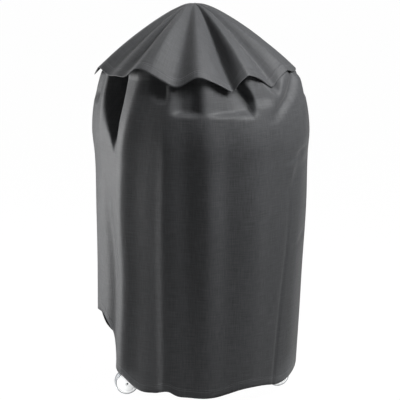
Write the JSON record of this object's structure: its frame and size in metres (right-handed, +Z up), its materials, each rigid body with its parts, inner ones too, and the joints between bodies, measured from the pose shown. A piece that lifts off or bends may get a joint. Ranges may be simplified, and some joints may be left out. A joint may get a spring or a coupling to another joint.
{
  "type": "kettle charcoal grill with weather cover",
  "caption": "Kettle charcoal grill on three twin-wheel castors, standing under a fitted fabric weather cover with a conical cap and a long skirt; cover, lid and grates lift off.",
  "frame": {"origin": "on the floor, on the kettle's vertical axis", "axes": "+Z up, +X through the right side handle, the front towards -Y"},
  "size_m": [0.57, 0.57, 1.0155],
  "materials": {
    "cover_fabric": "woven polyester, matt",
    "enamel": "gloss vitreous enamel",
    "steel": "bright plated",
    "thermometer_steel": "brushed",
    "grip_wood": "oiled beech",
    "leg_paint": "satin powder coat",
    "castor_housing": "moulded nylon",
    "castor_wheel": "moulded polypropylene",
    "black_plastic": "moulded",
    "aluminium": "mill",
    "dial": "printed",
    "lens": "clear"
  },
  "bodies": {
    "root": {"bowl_shell": "enamel", "bowl_handle_left_bracket": "steel", "bowl_handle_left_grip": "grip_wood", "bowl_handle_right_bracket": "steel", "bowl_handle_right_grip": "grip_wood", "grate_tab_1": "enamel", "grate_tab_2": "enamel", "grate_tab_3": "enamel", "ash_collar": "leg_paint", "leg_left": "leg_paint", "leg_socket_left": "enamel", "leg_plug_left": "black_plastic", "leg_right": "leg_paint", "leg_socket_right": "enamel", "leg_plug_right": "black_plastic", "leg_rear": "leg_paint", "leg_socket_rear": "enamel", "leg_plug_rear": "black_plastic", "lower_shelf": "leg_paint", "castor_left_stem": "steel", "castor_right_stem": "steel", "castor_rear_stem": "steel"},
    "cover": {"cover_cap": "cover_fabric", "cover_skirt": "cover_fabric"},
    "lid": {"lid_shell": "enamel", "lid_handle_bracket": "steel", "lid_handle_grip": "grip_wood", "lid_heat_shield": "steel", "thermometer_case": "thermometer_steel", "thermometer_dial": "dial", "thermometer_lens": "lens", "lid_vent_rivet": "steel"},
    "lid_vent": {"lid_vent_disc": "aluminium"},
    "cooking_grate": {"cooking_grate": "steel", "cooking_grate_handle_1": "steel", "cooking_grate_handle_2": "steel"},
    "charcoal_grate": {"charcoal_grate": "steel"},
    "bowl_damper": {"damper_blades": "aluminium", "damper_shaft": "steel", "damper_lever": "steel", "damper_knob": "black_plastic"},
    "ash_pan": {"ash_pan": "aluminium", "ash_pan_handle": "steel"},
    "castor_left": {"castor_left_housing": "castor_housing", "castor_left_axle": "steel"},
    "castor_left_wheel_1": {"castor_left_wheel_1": "castor_wheel"},
    "castor_left_wheel_2": {"castor_left_wheel_2": "castor_wheel"},
    "castor_right": {"castor_right_housing": "castor_housing", "castor_right_axle": "steel"},
    "castor_right_wheel_1": {"castor_right_wheel_1": "castor_wheel"},
    "castor_right_wheel_2": {"castor_right_wheel_2": "castor_wheel"},
    "castor_rear": {"castor_rear_housing": "castor_housing", "castor_rear_axle": "steel"},
    "castor_rear_wheel_1": {"castor_rear_wheel_1": "castor_wheel"},
    "castor_rear_wheel_2": {"castor_rear_wheel_2": "castor_wheel"}
  },
  "joints": [
    {"name": "cover_lift", "type": "slide", "parent": "root", "child": "cover", "axis": [0, 0, 1], "range_m": [0, 1.3]},
    {"name": "lid_lift", "type": "slide", "parent": "root", "child": "lid", "axis": [0, 0, 1], "range_m": [0, 0.3]},
    {"name": "cooking_grate_lift", "type": "slide", "parent": "root", "child": "cooking_grate", "axis": [0, 0, 1], "range_m": [0, 0.16]},
    {"name": "charcoal_grate_lift", "type": "slide", "parent": "root", "child": "charcoal_grate", "axis": [0, 0, 1], "range_m": [0, 0.1]},
    {"name": "lid_vent_turn", "type": "hinge", "parent": "lid", "child": "lid_vent", "pos_m": [0.10612, 0.08904, 0.87454], "axis": [0.4442, 0.3728, 0.8147], "range_deg": [0, 45]},
    {"name": "bowl_damper_turn", "type": "hinge", "parent": "root", "child": "bowl_damper", "pos_m": [0, 0, 0.52918], "axis": [0, 0, 1], "range_deg": [0, 60]},
    {"name": "ash_pan_drop", "type": "slide", "parent": "root", "child": "ash_pan", "axis": [0, 0, 1], "range_m": [-0.12, 0]},
    {"name": "castor_left_swivel", "type": "hinge", "parent": "root", "child": "castor_left", "pos_m": [-0.18446, -0.1065, 0], "axis": [0, 0, 1], "continuous": true},
    {"name": "castor_left_wheel_1_spin", "type": "hinge", "parent": "castor_left", "child": "castor_left_wheel_1", "pos_m": [-0.20046, -0.1065, 0.02974], "axis": [0, -1, 0], "continuous": true},
    {"name": "castor_left_wheel_2_spin", "type": "hinge", "parent": "castor_left", "child": "castor_left_wheel_2", "pos_m": [-0.20046, -0.1065, 0.02974], "axis": [0, -1, 0], "continuous": true},
    {"name": "castor_right_swivel", "type": "hinge", "parent": "root", "child": "castor_right", "pos_m": [0.18446, -0.1065, 0], "axis": [0, 0, 1], "continuous": true},
    {"name": "castor_right_wheel_1_spin", "type": "hinge", "parent": "castor_right", "child": "castor_right_wheel_1", "pos_m": [0.20046, -0.1065, 0.02974], "axis": [0, 1, 0], "continuous": true},
    {"name": "castor_right_wheel_2_spin", "type": "hinge", "parent": "castor_right", "child": "castor_right_wheel_2", "pos_m": [0.20046, -0.1065, 0.02974], "axis": [0, 1, 0], "continuous": true},
    {"name": "castor_rear_swivel", "type": "hinge", "parent": "root", "child": "castor_rear", "pos_m": [0, 0.213, 0], "axis": [0, 0, 1], "continuous": true},
    {"name": "castor_rear_wheel_1_spin", "type": "hinge", "parent": "castor_rear", "child": "castor_rear_wheel_1", "pos_m": [0.008, 0.22686, 0.02974], "axis": [-0.866, 0.5, 0], "continuous": true},
    {"name": "castor_rear_wheel_2_spin", "type": "hinge", "parent": "castor_rear", "child": "castor_rear_wheel_2", "pos_m": [0.008, 0.22686, 0.02974], "axis": [-0.866, 0.5, 0], "continuous": true}
  ],
  "couplings": [
    {"joint": "lid_lift", "follows": "cover_lift", "ratio": 0.23},
    {"joint": "cooking_grate_lift", "follows": "cover_lift", "ratio": 0.12},
    {"joint": "charcoal_grate_lift", "follows": "cover_lift", "ratio": 0.07}
  ]
}
